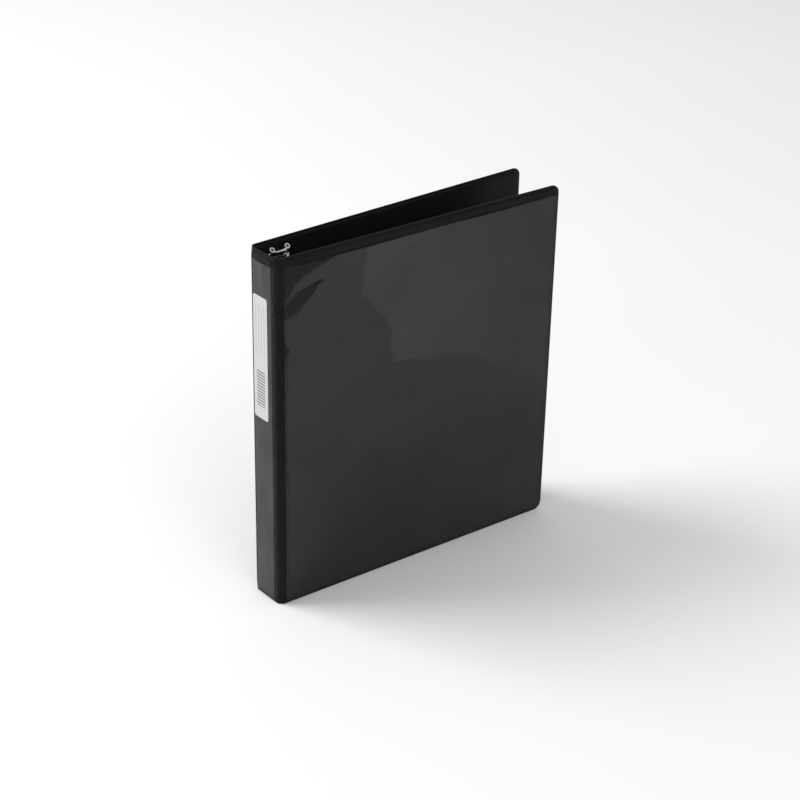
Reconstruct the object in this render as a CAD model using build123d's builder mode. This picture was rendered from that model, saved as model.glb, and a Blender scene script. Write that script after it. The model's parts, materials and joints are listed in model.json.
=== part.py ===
"""A slim three-ring view binder for letter paper, standing upright and closed, in millimetres.

X runs from the spine to the fore edge, Y from the front cover to the back cover and Z up.
The origin is under the middle of the binder, on the surface that it stands on.

The case is three chipboards sealed between two vinyl sheets. The welded vinyl between the boards
bends, and is the hinge of each cover. A D-ring mechanism is riveted to the back cover.
"""

import math
import os

from build123d import *

# ---------------------------------------------------------------- driving dimensions: the case
case_height = 292.0  # 11.5 inch covers
case_length = 263.0  # from the face of the spine to the fore edge
case_thickness = 35.0  # over both covers, at the spine
front_flare = 3.0  # degrees that the front cover stands open at rest
board_thickness = 2.3
vinyl_thickness = 0.35  # one sheet over a board
weld_thickness = 0.8  # two sheets fused together
weld_margin = 3.0  # from the edge of the vinyl to the edge of the board
weld_taper = 2.4  # how far the vinyl slopes down beside a board
corner_radius = 7.0
board_clearance = 0.1

fold_radius = 0.9  # the bead of vinyl on each hinge line
fold_gap = 3.3  # from a hinge line to the spine and to the cover
fold_clearance = 0.35

film_thickness = 0.2  # clear overlays
film_margin = 2.6
spine_film_margin = 0.6
film_top_drop = 8.0  # how far the open top of an overlay is below the top of the case
label_width = 17.0
label_length = 100.0
label_thickness = 0.12
label_corner = 2.0
label_offset = 2.5  # the label is stuck off centre, towards the back cover
label_bottom = 157.0

pocket_film = 0.3
pocket_height = 150.0
pocket_fore_drop = 35.0  # the mouth of a pocket slopes down towards the fore edge
pocket_margin = 6.0
pocket_corner = 10.0

# ---------------------------------------------------------------- driving dimensions: the rings
ring_spacing = 107.95  # 4.25 inch
ring_names = ["bottom", "middle", "top"]
wire_radius = 1.4
post_offset = 8.2  # the straight legs, from the middle of the mechanism
loop_radius = 10.5  # centreline of the round side of the D
loop_centre_height = 14.3  # above the inner face of the back cover
shoulder_radius = 6.0  # between the straight leg and the top of the D
tip_offset = -1.0  # where the two halves of a ring meet
tip_gap = 0.3
foot_bend_radius = 2.6
foot_bend_turn = 50.0  # degrees
peg_radius = 1.0
peg_clearance = 0.05
peg_head_radius = 1.3
peg_head_height = 0.3

mechanism_offset = 21.0  # the middle of the mechanism, from the face of the spine
housing_width = 23.0
housing_height = 8.8
housing_wall = 0.8
housing_side = 4.4  # height of the upright sides, below the arch
housing_end_gap = 10.5  # from the end of the case to the end of the housing
lip_width = 1.0
lip_height = 1.2
window_play = 0.6  # around the wire, along the mechanism
window_start = 5.6
window_overrun = 1.0  # past the side wall

plate_thickness = 0.8
plate_pivot_clearance = 0.7  # each plate rocks on its outer edge, this far inside the housing's wall
plate_pivot_height = 3.3
plate_edge = 0.2  # how far the plate reaches past its pivot
plate_seam_play = 0.2  # between a plate's inner edge and the seam
plate_end_gap = 6.0  # from a lever's pin to the ends of the plates
plate_tilt = 5.5  # degrees that the seam is pressed down when the rings are shut
notch_clearance = 1.0
foot_trim = 4.0  # cuts the wire of a ring off at the top of its plate

rivet_spacing = 108.0  # two fixings, between the rings
rivet_radius = 1.9
rivet_clearance = 0.05
rivet_head_radius = 4.0
rivet_head_height = 1.0
rivet_rounding = 0.7
spacer_radius = 3.0
cap_radius = 4.75
cap_height = 1.0
cap_rounding = 0.5

pin_radius = 0.9
pin_height = 1.9
pin_clearance = 0.05
pin_proud = 0.3
pin_end_gap = 2.6  # from the end of the housing to a lever's pin
lever_hub_radius = 1.7
lever_hub_play = 1.2  # between the hub and a lip of the housing
lever_width = 13.4  # between the middles of the two curls
lever_sheet = 1.0
lever_angle = 42.0  # degrees that the finger tab stands up when the rings are shut
lever_length = 11.0
tab_scoop_radius = 8.0  # the end of the tab is hollowed between its curls
tab_scoop_depth = 2.2
curl_radius = 2.1  # each side of the tab is rolled under
curl_bore = 1.2
curl_length = 4.5
jaw_width = 3.0
jaw_end_play = 1.0  # from the back of the jaw to the ends of the plates
lower_grip = 0.85  # how far each nose of the jaw reaches over the plates
upper_grip = 1.6
jaw_nose = 1.0
jaw_floor = -0.5  # top of the lower nose, above the pin
jaw_roof = 1.25  # underside of the upper nose, above the pin
jaw_opening = 0.1  # the roof rises by this towards its tip
jaw_root = 0.4  # the jaw starts this far behind the pin
jaw_inset = 0.1  # and this far inside the hub's outline

# ---------------------------------------------------------------- worked out from them
cover_thickness = board_thickness + 2 * vinyl_thickness
cover_length = case_length - fold_radius  # from the hinge line
flare = math.radians(front_flare)
spine_x = -(case_length - film_thickness - label_thickness) / 2
outside = film_thickness + cap_height + fold_radius
front_y = (cover_length * math.sin(flare) - case_thickness - outside) / 2
back_y = front_y + case_thickness
inner_back_y = back_y - cover_thickness
spine_middle_y = (front_y + back_y) / 2
spine_half = case_thickness / 2 - fold_radius - fold_gap
hinge_line_x = spine_x + fold_radius
hinge_line_y = {-1: front_y + fold_radius, 1: back_y - fold_radius}
mechanism_x = spine_x + mechanism_offset
middle_z = case_height / 2
ring_heights = [middle_z + step * ring_spacing for step in (-1, 0, 1)]
rivet_heights = [middle_z - rivet_spacing / 2, middle_z + rivet_spacing / 2]
pin_offset = middle_z - housing_end_gap - pin_end_gap
outer_film_v = -cover_thickness - film_thickness
board_inset = weld_margin + board_clearance
tilt = math.radians(plate_tilt)
wall_out = housing_width / 2
wall_in = wall_out - housing_wall
lip_in = wall_in - lip_width
arch_radius = (wall_out**2 + (housing_height - housing_side) ** 2) / (2 * (housing_height - housing_side))
arch_centre = housing_height - arch_radius
plate_pivot_offset = wall_in - plate_pivot_clearance
plate_width = plate_pivot_offset - plate_seam_play
jaw_web = plate_end_gap - jaw_end_play
lower_jaw = plate_end_gap + lower_grip
upper_jaw = plate_end_gap + upper_grip
lean = math.radians(lever_angle)

os.makedirs("parts", exist_ok=True)


def write(builder, name):
    """Labels a finished piece and writes it as its own STEP file."""
    builder.part.label = name
    export_step(builder.part, f"parts/{name}.step")


# ================================================================ planes that the sketches lie on


def cover_plane(side, depth):
    """The plane at a depth inside a cover's outer face. side is -1 for the front cover, 1 for the back.

    x runs along the cover from its hinge line, y up, and an extrusion by side * t goes t deeper.
    """
    turn = flare if side < 0 else 0.0
    normal = (-math.sin(turn), -math.cos(turn), 0)
    along = (math.cos(turn), -math.sin(turn), 0)
    line = Plane(origin=(hinge_line_x, hinge_line_y[side], 0), x_dir=along, z_dir=normal)
    return line.offset(-side * (fold_radius - depth))


def spine_plane(depth):
    """The plane at a depth inside the spine's face. x is towards the front cover, y up, z outwards."""
    return Plane(origin=(spine_x + depth, spine_middle_y, 0), x_dir=(0, -1, 0), z_dir=(-1, 0, 0))


def section_plane(z):
    """A plan section of the mechanism: x is u, towards the fore edge, y is v, up from the back cover."""
    return Plane(origin=(mechanism_x, inner_back_y, z), x_dir=(1, 0, 0), z_dir=(0, 0, -1))


def layer_plane(v):
    """The plane v above the inner face of the back cover: x is u, y is Z, z away from the cover."""
    return Plane(origin=(mechanism_x, inner_back_y - v, 0), x_dir=(1, 0, 0), z_dir=(0, -1, 0))


def plate_plane(side):
    """The top of a plate as it lies when shut: x runs from its pivot to the seam, y is -side * Z."""
    origin = (mechanism_x + side * plate_pivot_offset, inner_back_y - plate_pivot_height, 0)
    seamward = (-side * math.cos(tilt), math.sin(tilt), 0)
    normal = (-side * math.sin(tilt), -math.cos(tilt), 0)
    return Plane(origin=origin, x_dir=seamward, z_dir=normal).offset(plate_thickness / 2)


def lever_plane(end):
    """A lever seen from its side, on its pin: x is towards the middle of the mechanism, y away from
    the back cover.
    """
    origin = (mechanism_x, inner_back_y - pin_height, middle_z + end * pin_offset)
    return Plane(origin=origin, x_dir=(0, 0, -end), z_dir=(-end, 0, 0))


# ================================================================ the two covers


def cover_outline(margin, hinge_margin, top_margin):
    """Sketches a cover's outline, drawn in from its edges, with its two fore corners rounded."""
    start = fold_gap + hinge_margin
    end = cover_length - margin
    top = case_height - top_margin
    with Locations(((start + end) / 2, (top + margin) / 2)):
        Rectangle(end - start, top - margin)
    fillet(vertices().group_by(Axis.X)[-1], corner_radius - margin)


def rivet_holes(low, high):
    """Cuts the two rivet holes of the mechanism, between two heights above the back cover."""
    with BuildSketch(layer_plane(low)) as holes:
        with Locations([(0, z) for z in rivet_heights]):
            Circle(rivet_radius + rivet_clearance)
    extrude(holes.sketch, amount=high - low, mode=Mode.SUBTRACT)


def cover_sheet(side, outer):
    """One vinyl sheet of a cover, from its face to the middle of the board, with a bed for the board."""
    middle = cover_thickness / 2
    inward = side if not outer else -side
    with BuildPart() as sheet:
        with BuildSketch(cover_plane(side, middle)):
            cover_outline(0, 0, 0)
        extrude(amount=inward * middle)
        face = faces().sort_by(Axis((0, 0, 0), cover_plane(side, 0).z_dir))[-1 if inward > 0 else 0]
        edges_round = face.edges()
        if outer:
            edges_round = edges_round.sort_by(Axis.X)[1:]
        chamfer(edges_round, weld_taper, middle - weld_thickness / 2, reference=face)
        with BuildSketch(cover_plane(side, middle)):
            cover_outline(weld_margin, weld_margin, weld_margin)
        extrude(amount=inward * board_thickness / 2, mode=Mode.SUBTRACT)
        if outer:
            with BuildSketch(cover_plane(side, 0)):
                flange_start = fold_radius + fold_clearance
                with Locations(((flange_start + fold_gap) / 2, middle_z)):
                    Rectangle(fold_gap - flange_start, case_height)
            extrude(amount=side * weld_thickness)
        if side > 0:
            rivet_holes(-cover_thickness, 0)
    return sheet


for side, name in ((-1, "front"), (1, "back")):
    write(cover_sheet(side, True), f"{name}_outer_vinyl")
    write(cover_sheet(side, False), f"{name}_inner_vinyl")

    with BuildPart() as board:
        with BuildSketch(cover_plane(side, vinyl_thickness)):
            cover_outline(board_inset, board_inset, board_inset)
        extrude(amount=side * board_thickness)
        if side > 0:
            rivet_holes(-cover_thickness, 0)
    write(board, f"{name}_board")

    with BuildPart() as film:
        with BuildSketch(cover_plane(side, 0)):
            cover_outline(film_margin, film_margin, film_top_drop)
        extrude(amount=-side * film_thickness)
        if side > 0:
            rivet_holes(outer_film_v, -cover_thickness)
    write(film, f"{name}_clear_overlay")

    pocket_start = fold_gap + pocket_margin
    if side > 0:
        pocket_start = mechanism_offset + housing_width / 2 + pocket_margin
    pocket_end = cover_length - pocket_margin
    with BuildPart() as pocket:
        with BuildSketch(cover_plane(side, cover_thickness)):
            with BuildLine():
                Polyline(
                    (pocket_start, pocket_margin),
                    (pocket_end, pocket_margin),
                    (pocket_end, pocket_height - pocket_fore_drop),
                    (pocket_start, pocket_height),
                    close=True,
                )
            make_face()
            fillet(vertices(), pocket_corner)
        extrude(amount=side * pocket_film)
    write(pocket, f"{name}_inner_pocket")

# ================================================================ the spine


def spine_outline(side_margin, bottom_margin, top_margin):
    """Sketches the flat spine's outline, drawn in from its edges."""
    with Locations((0, (case_height - top_margin + bottom_margin) / 2)):
        Rectangle(2 * (spine_half - side_margin), case_height - top_margin - bottom_margin)


for outward, name in ((1, "spine_outer_vinyl"), (-1, "spine_inner_vinyl")):
    with BuildPart() as spine_sheet:
        with BuildSketch(spine_plane(cover_thickness / 2)):
            spine_outline(0, 0, 0)
        extrude(amount=outward * cover_thickness / 2)
        face = faces().sort_by(Axis.X)[0 if outward > 0 else -1]
        edges_round = face.edges()
        if outward > 0:
            edges_round = edges_round.filter_by(Axis.Y)
        chamfer(edges_round, weld_taper, (cover_thickness - weld_thickness) / 2, reference=face)
        with BuildSketch(spine_plane(cover_thickness / 2)):
            spine_outline(weld_margin, weld_margin, weld_margin)
        extrude(amount=outward * board_thickness / 2, mode=Mode.SUBTRACT)
    write(spine_sheet, name)

with BuildPart() as spine_board:
    with BuildSketch(spine_plane(vinyl_thickness)):
        spine_outline(board_inset, board_inset, board_inset)
    extrude(amount=-board_thickness)
write(spine_board, "spine_board")

with BuildPart() as spine_overlay:
    with BuildSketch(spine_plane(0)):
        spine_outline(spine_film_margin, film_margin, film_top_drop)
    extrude(amount=film_thickness)
write(spine_overlay, "spine_clear_overlay")

with BuildPart() as spine_label:
    with BuildSketch(spine_plane(-film_thickness)):
        with Locations((-label_offset, label_bottom + label_length / 2)):
            RectangleRounded(label_width, label_length, label_corner)
    extrude(amount=label_thickness)
write(spine_label, "spine_label")

# The vinyl hinges: a bead on each hinge line, joined to the spine. The cover's own strip meets the bead.
for side, name in ((-1, "front"), (1, "back")):
    with BuildPart() as hinge:
        with BuildSketch(Plane.XY):
            with Locations((hinge_line_x, hinge_line_y[side])):
                Circle(fold_radius)
            with Locations((spine_x + weld_thickness / 2, hinge_line_y[side] - side * fold_gap / 2)):
                Rectangle(weld_thickness, fold_gap)
        extrude(amount=case_height)
    write(hinge, f"{name}_vinyl_hinge")

# ================================================================ the ring mechanism


def arch_height(u, inset):
    """The height v of the housing's arch at u, on a surface that is inset from its outside."""
    return arch_centre + math.sqrt((arch_radius - inset) ** 2 - u**2)


# Housing: a sprung steel arch whose turned-in lips carry the outer edges of the two plates.
spring_height = arch_height(wall_in, housing_wall)
right_side = [
    (wall_out, housing_side),
    (wall_out, 0),
    (wall_in, 0),
    (wall_in, lip_height),
    (lip_in, lip_height),
    (lip_in, lip_height + housing_wall),
    (wall_in, lip_height + housing_wall),
    (wall_in, spring_height),
]
left_side = [(-u, v) for u, v in reversed(right_side)]
with BuildPart() as housing:
    with BuildSketch(section_plane(case_height - housing_end_gap)):
        with BuildLine():
            ThreePointArc((-wall_out, housing_side), (0, housing_height), (wall_out, housing_side))
            Polyline(*right_side)
            arch_top = (0, housing_height - housing_wall)
            ThreePointArc((wall_in, spring_height), arch_top, (-wall_in, spring_height))
            Polyline(*left_side)
        make_face()
    extrude(amount=case_height - 2 * housing_end_gap)
    # windows that the feet of the rings rise through
    with BuildSketch(layer_plane(housing_side)):
        window_end = wall_out + window_overrun
        window_middle = (window_start + window_end) / 2
        with Locations([(side * window_middle, z) for side in (-1, 1) for z in ring_heights]):
            Rectangle(window_end - window_start, 2 * (wire_radius + window_play))
    extrude(amount=housing_height, mode=Mode.SUBTRACT)
    # holes for the mounting rivets
    rivet_holes(housing_side, 2 * housing_height)
    # holes for the pins of the levers, through both sides
    with BuildSketch(Plane.YZ.offset(mechanism_x)):
        with Locations([(inner_back_y - pin_height, middle_z + end * pin_offset) for end in (-1, 1)]):
            Circle(pin_radius + pin_clearance)
    extrude(amount=housing_width, both=True, mode=Mode.SUBTRACT)
write(housing, "ring_housing")


def rivet_discs(low, high, radius):
    """Adds a disc on both rivet lines, between two heights above the back cover."""
    with BuildSketch(layer_plane(low)) as discs:
        with Locations([(0, z) for z in rivet_heights]):
            Circle(radius)
    extrude(discs.sketch, amount=high - low)


rivet_seat = housing_height + rivet_clearance / 2
with BuildPart() as rivets:
    rivet_discs(rivet_seat, rivet_seat + rivet_head_height, rivet_head_radius)
    fillet(edges().group_by(Axis.Y)[0], rivet_rounding)
    rivet_discs(outer_film_v, rivet_seat, rivet_radius)
write(rivets, "mounting_rivets")

with BuildPart() as caps:
    rivet_discs(outer_film_v - cap_height, outer_film_v, cap_radius)
    fillet(edges().group_by(Axis.Y)[-1], cap_rounding)
write(caps, "rivet_caps")

with BuildPart() as spacers:
    rivet_discs(0, arch_height(spacer_radius, housing_wall) - rivet_clearance, spacer_radius)
    rivet_holes(0, housing_height)
write(spacers, "rivet_spacers")

with BuildPart() as pins:
    with BuildSketch(Plane.YZ.offset(mechanism_x)):
        with Locations([(inner_back_y - pin_height, middle_z + end * pin_offset) for end in (-1, 1)]):
            Circle(pin_radius)
    extrude(amount=wall_out + pin_proud, both=True)
write(pins, "lever_pins")


# ---------------------------------------------------------------- plates and half rings


def foot_along(u):
    """How far along a plate, from its pivot, the foot of a ring at u comes down."""
    return (plate_pivot_offset - abs(u) - plate_thickness / 2 * math.sin(tilt)) / math.cos(tilt)


turned = math.radians(foot_bend_turn)
half_gap = tip_gap / 2
round_foot = tip_offset - half_gap - loop_radius * math.cos(turned)
round_foot += foot_bend_radius * (1 - math.cos(turned))
foot_offsets = {1: post_offset, -1: round_foot}
loop_top = loop_centre_height + loop_radius
foot_bottom = plate_pivot_height - plate_thickness

for side, name in ((-1, "spine_side"), (1, "paper_side")):
    foot = foot_along(foot_offsets[side])
    with BuildPart() as plate:
        with BuildSketch(plate_plane(side)):
            plate_length = 2 * (pin_offset - plate_end_gap)
            with Locations(((plate_width - plate_edge) / 2, -side * middle_z)):
                Rectangle(plate_width + plate_edge, plate_length)
            with Locations([(plate_pivot_offset, -side * z) for z in rivet_heights]):
                Circle(spacer_radius + notch_clearance, mode=Mode.SUBTRACT)
            with Locations([(foot, -side * z) for z in ring_heights]):
                Circle(peg_radius + peg_clearance, mode=Mode.SUBTRACT)
        extrude(amount=-plate_thickness)
    write(plate, f"{name}_plate")

    for ring_name, z in zip(ring_names, ring_heights):
        with BuildPart() as half_ring:
            with BuildLine(section_plane(z)) as centreline:
                if side > 0:
                    run_end = (post_offset - shoulder_radius, loop_top)
                    top_run = Line((tip_offset + half_gap, loop_top), run_end)
                    shoulder = JernArc(top_run @ 1, top_run % 1, shoulder_radius, -90)
                    Line(shoulder @ 1, (post_offset, foot_bottom))
                else:
                    tip = (tip_offset - half_gap, loop_top)
                    loop = JernArc(tip, (-1, 0), loop_radius, 90 + foot_bend_turn)
                    bend = JernArc(loop @ 1, loop % 1, foot_bend_radius, -foot_bend_turn)
                    Line(bend @ 1, (round_foot, foot_bottom))
            with BuildSketch(Plane(origin=centreline.line @ 0, z_dir=centreline.line % 0)):
                Circle(wire_radius)
            sweep(path=centreline.line)
            with BuildSketch(plate_plane(side)):
                with Locations((foot, -side * z)):
                    Circle(2 * wire_radius)
            extrude(amount=-foot_trim, mode=Mode.SUBTRACT)
            with BuildSketch(plate_plane(side)):
                with Locations((foot, -side * z)):
                    Circle(peg_radius)
            extrude(amount=-plate_thickness)
            with BuildSketch(plate_plane(side).offset(-plate_thickness)):
                with Locations((foot, -side * z)):
                    Circle(peg_head_radius)
            extrude(amount=-peg_head_height)
        write(half_ring, f"{name}_{ring_name}_half_ring")

# ---------------------------------------------------------------- levers


def tab_plane(end):
    """The middle of a lever's finger tab: x runs out along it from the pin, z up from the back cover."""
    outward = (0, -math.sin(lean), end * math.cos(lean))
    upward = (0, -math.cos(lean), -end * math.sin(lean))
    return Plane(origin=lever_plane(end).origin, x_dir=outward, z_dir=upward)


hub_half = lip_in - lever_hub_play
jaw_tip = jaw_roof + jaw_opening
for end, name in ((-1, "bottom"), (1, "top")):
    with BuildPart() as lever:
        with BuildSketch(lever_plane(end)):
            Circle(lever_hub_radius)
        extrude(amount=hub_half, both=True)
        # the jaw that holds the ends of the two plates
        with BuildSketch(lever_plane(end)):
            with BuildLine():
                Polyline(
                    (-jaw_root, jaw_inset - lever_hub_radius),
                    (lower_jaw, jaw_floor - jaw_nose),
                    (lower_jaw, jaw_floor),
                    (jaw_web, jaw_floor),
                    (jaw_web, jaw_roof),
                    (upper_jaw, jaw_tip),
                    (upper_jaw, jaw_tip + jaw_nose),
                    (jaw_web, jaw_tip + jaw_nose),
                    (-jaw_root, lever_hub_radius - jaw_inset),
                    close=True,
                )
            make_face()
        extrude(amount=jaw_width / 2, both=True)
        # the finger tab, hollowed at its end
        with BuildSketch(tab_plane(end)):
            with Locations((lever_length / 2, 0)):
                Rectangle(lever_length, lever_width)
            with Locations((lever_length - tab_scoop_depth + tab_scoop_radius, 0)):
                Circle(tab_scoop_radius, mode=Mode.SUBTRACT)
        extrude(amount=lever_sheet / 2, both=True)
        # its two curled sides
        tab_end = tab_plane(end).from_local_coords((lever_length, 0, 0))
        with BuildSketch(Plane(origin=tab_end, x_dir=(1, 0, 0), z_dir=tab_plane(end).x_dir)):
            curl_drop = end * (curl_radius - lever_sheet / 2)
            with Locations((-lever_width / 2, curl_drop), (lever_width / 2, curl_drop)):
                Circle(curl_radius)
                Circle(curl_bore, mode=Mode.SUBTRACT)
        extrude(amount=-curl_length)
        with BuildSketch(lever_plane(end)):
            Circle(pin_radius + pin_clearance)
        extrude(amount=hub_half, both=True, mode=Mode.SUBTRACT)
    write(lever, f"{name}_lever")
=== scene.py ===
# %% [markdown]
# # A slim ring binder
# The binder stands upright and closed, with its spine to the left. It is a case of three chipboards
# sealed in black vinyl, with clear pockets over the outside and a nickel-plated ring mechanism riveted
# to the back cover. The moving bodies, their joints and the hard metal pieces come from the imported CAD
# frame. This script gives them their finishes, and models what is soft: the vinyl skins with their
# welds, the strips that bend, the clear film and the inner pockets.

# %% The frame
import json
import math

import bmesh
import bpy
from mathutils import Matrix, Vector, noise


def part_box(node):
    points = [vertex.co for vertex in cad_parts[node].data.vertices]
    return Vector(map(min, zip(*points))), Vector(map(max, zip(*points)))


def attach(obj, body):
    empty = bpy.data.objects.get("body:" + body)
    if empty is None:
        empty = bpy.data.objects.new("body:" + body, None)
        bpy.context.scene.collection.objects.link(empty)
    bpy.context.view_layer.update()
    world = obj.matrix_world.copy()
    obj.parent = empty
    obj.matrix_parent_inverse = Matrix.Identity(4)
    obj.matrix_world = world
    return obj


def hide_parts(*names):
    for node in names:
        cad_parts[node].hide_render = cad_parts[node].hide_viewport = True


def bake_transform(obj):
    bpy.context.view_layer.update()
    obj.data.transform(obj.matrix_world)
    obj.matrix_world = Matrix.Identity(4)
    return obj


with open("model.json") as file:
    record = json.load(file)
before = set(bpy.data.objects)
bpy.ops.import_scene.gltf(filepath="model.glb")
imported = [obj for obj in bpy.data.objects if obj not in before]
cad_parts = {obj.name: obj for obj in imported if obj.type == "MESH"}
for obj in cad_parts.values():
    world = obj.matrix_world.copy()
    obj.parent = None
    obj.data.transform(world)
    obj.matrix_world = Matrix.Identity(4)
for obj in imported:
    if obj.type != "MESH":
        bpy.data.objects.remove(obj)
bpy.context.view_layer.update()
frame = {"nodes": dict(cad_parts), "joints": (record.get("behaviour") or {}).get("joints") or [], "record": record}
MM = 0.001
joints = {j["name"]: j for j in frame["joints"]}

# %% [markdown]
# ## Where the panels are
# Each panel has its own plain coordinates: along it from its fold line, up it, and out of its face.
# A matrix takes those to the frame, so that the front cover, the back cover and the spine can share
# the functions that shape them. The front cover stands a few degrees open, and its angle is read from
# the direction of its flat face in the record. The back cover's matrix is a mirror image of the front
# one's, which turns faces inside out, so each mesh has its normals recalculated once it is in place.

# %% Panels
front_fold = Vector(joints["front_cover_hinge"]["pos_m"])
back_fold = Vector(joints["back_cover_hinge"]["pos_m"])
front_out = Vector(frame["record"]["mounts"][0]["axis"]).normalized()
back_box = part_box("back_outer_vinyl")
spine_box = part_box("spine_outer_vinyl")
height = back_box[1].z
fold_depth = back_box[1].y - back_fold.y  # a fold line lies this far inside the outer faces
cover_end = back_box[1].x - back_fold.x
panel_thickness = 2 * (spine_box[1].x - spine_box[0].x)  # the outer sheet is half of it
spine_half = (spine_box[1].y - spine_box[0].y) / 2
spine_middle = Vector((spine_box[0].x, (spine_box[0].y + spine_box[1].y) / 2, 0))
cover_start = back_fold.y - spine_box[1].y  # a cover starts as far from the fold as the spine ends
cover_length = cover_end - cover_start
UP = Vector((0, 0, 1))


def panel_matrix(origin, along, outward):
    """The matrix from (along, up, out) to the frame."""
    columns = (along, UP, outward)
    turned = Matrix([[c[row] for c in columns] for row in range(3)]).to_4x4()
    return Matrix.Translation(origin) @ turned


front_along = Vector((-front_out.y, front_out.x, 0))
back_out = Vector((0, 1, 0))
PANELS = {
    "front": panel_matrix(front_fold + front_out * fold_depth, front_along, front_out),
    "back": panel_matrix(back_fold + back_out * fold_depth, Vector((1, 0, 0)), back_out),
    "spine": panel_matrix(spine_middle, Vector((0, -1, 0)), Vector((-1, 0, 0))),
}
BODY = {"front": "front_cover", "back": "back_cover", "spine": "spine"}
print(f"cover {cover_end / MM:.1f} x {height / MM:.1f} mm, panel {panel_thickness / MM:.1f} mm thick")

# %% [markdown]
# ## The camera
# The camera looks down on the binder from the spine side with a long lens, so that the upright edges
# stay nearly parallel. It is placed by two angles and a distance from a point inside the binder, and
# rolled very slightly.

# %% Camera
VIEW_AZIMUTH = math.radians(-39.8)
VIEW_ELEVATION = math.radians(27.8)
VIEW_ROLL = math.radians(1.2)
VIEW_TARGET = Vector((0, 0.0058, 0.1315))
VIEW_DISTANCE = 1.562
LENS = 89.27  # focal length in millimetres, on a sensor 36 mm wide
towards = Vector(
    (
        math.sin(VIEW_AZIMUTH) * math.cos(VIEW_ELEVATION),
        -math.cos(VIEW_AZIMUTH) * math.cos(VIEW_ELEVATION),
        math.sin(VIEW_ELEVATION),
    )
)
camera = bpy.data.objects.new("camera", bpy.data.cameras.new("camera"))
camera.data.sensor_width = 36
camera.data.lens = LENS
camera.data.clip_start = 0.05
camera.data.clip_end = 30
camera.rotation_mode = "QUATERNION"
camera.location = VIEW_TARGET + towards * VIEW_DISTANCE
level = (-towards).to_track_quat("-Z", "Y")
camera.rotation_quaternion = (Matrix.Rotation(VIEW_ROLL, 3, towards) @ level.to_matrix()).to_quaternion()
bpy.context.scene.collection.objects.link(camera)
bpy.context.scene.camera = camera
print("camera at", [round(v, 3) for v in camera.location])

# %% [markdown]
# ## The light and the floor
# The floor is plain and pale. Black vinyl has hardly any colour of its own, so what shows on it is the
# floor, mirrored: the spine mirrors the bright floor on the left, and the front cover mirrors the floor
# on the right, which is dimmer because the main light stands behind the binder on the left. So the
# light is chosen for what it does to the floor. Large square lights, like softboxes, keep the shadows
# soft, and an even white world fills them.

# %% Light and floor
SOFTBOX_SIZE = 1.6
KEY_POWER = 62
FRONT_POWER = 16
WORLD_STRENGTH = 0.62
FLOOR_HALF = 6
FLOOR_GAP = 0.2 * MM  # the floor lies this far under the binder, so the two don't flicker


def softbox(name, place, aim, power):
    """A large square light at place, turned to face aim."""
    light = bpy.data.lights.new(name, "AREA")
    light.shape = "SQUARE"
    light.size = SOFTBOX_SIZE
    light.energy = power
    box = bpy.data.objects.new(name, light)
    box.location = place
    box.rotation_mode = "QUATERNION"
    box.rotation_quaternion = (Vector(aim) - Vector(place)).to_track_quat("-Z", "Y")
    bpy.context.scene.collection.objects.link(box)


softbox("key_light", (-1.4, 1.6, 2.2), (0, 0, 0.1), KEY_POWER)
softbox("front_light", (-0.6, -2.4, 1.9), (0, 0, 0.15), FRONT_POWER)
world = bpy.data.worlds.new("studio")
world.use_nodes = True
background = world.node_tree.nodes["Background"]
background.inputs["Color"].default_value = (1, 1, 1, 1)
background.inputs["Strength"].default_value = WORLD_STRENGTH
bpy.context.scene.world = world
bpy.context.scene.view_settings.view_transform = "Standard"

floor_mesh = bmesh.new()
bmesh.ops.create_grid(floor_mesh, x_segments=1, y_segments=1, size=FLOOR_HALF)
floor_data = bpy.data.meshes.new("floor")
floor_mesh.to_mesh(floor_data)
floor_mesh.free()
floor = bpy.data.objects.new("floor", floor_data)
floor.location.z = -FLOOR_GAP
bpy.context.scene.collection.objects.link(floor)

# %% [markdown]
# ## Finishes
# A finish is a node tree that computes colour, roughness and relief from the place of each point, so
# nothing is an image. Effects that several finishes use are node groups, made once here: a fine
# leather-like grain for vinyl, and faint smudges for anything smooth enough to show handling. Three
# small helpers come first: one starts an empty group, one adds a math node, and one turns a value into
# its share of the way between two limits, which is how a noise becomes a mask.


# %% Helpers for node trees
def new_group(name, inputs, outputs):
    """An empty node group with float sockets, and its two end nodes."""
    group = bpy.data.node_groups.new(name, "ShaderNodeTree")
    for label, value in inputs.items():
        made = group.interface.new_socket(label, in_out="INPUT", socket_type="NodeSocketFloat")
        made.default_value = value
    for label in outputs:
        group.interface.new_socket(label, in_out="OUTPUT", socket_type="NodeSocketFloat")
    return group, group.nodes.new("NodeGroupInput"), group.nodes.new("NodeGroupOutput")


def math_node(tree, operation, *values):
    """The output of a math node whose inputs are sockets or numbers."""
    node = tree.nodes.new("ShaderNodeMath")
    node.operation = operation
    for number, value in enumerate(values):
        if isinstance(value, (int, float)):
            node.inputs[number].default_value = value
        else:
            tree.links.new(value, node.inputs[number])
    return node.outputs[0]


def share_of_way(tree, value, start, end, slope="LINEAR"):
    """A value's share of the way from start to end, held between 0 and 1."""
    node = tree.nodes.new("ShaderNodeMapRange")
    node.interpolation_type = slope
    node.inputs["From Min"].default_value = start
    node.inputs["From Max"].default_value = end
    tree.links.new(value, node.inputs["Value"])
    return node.outputs["Result"]


print("helpers for node trees are ready")


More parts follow.
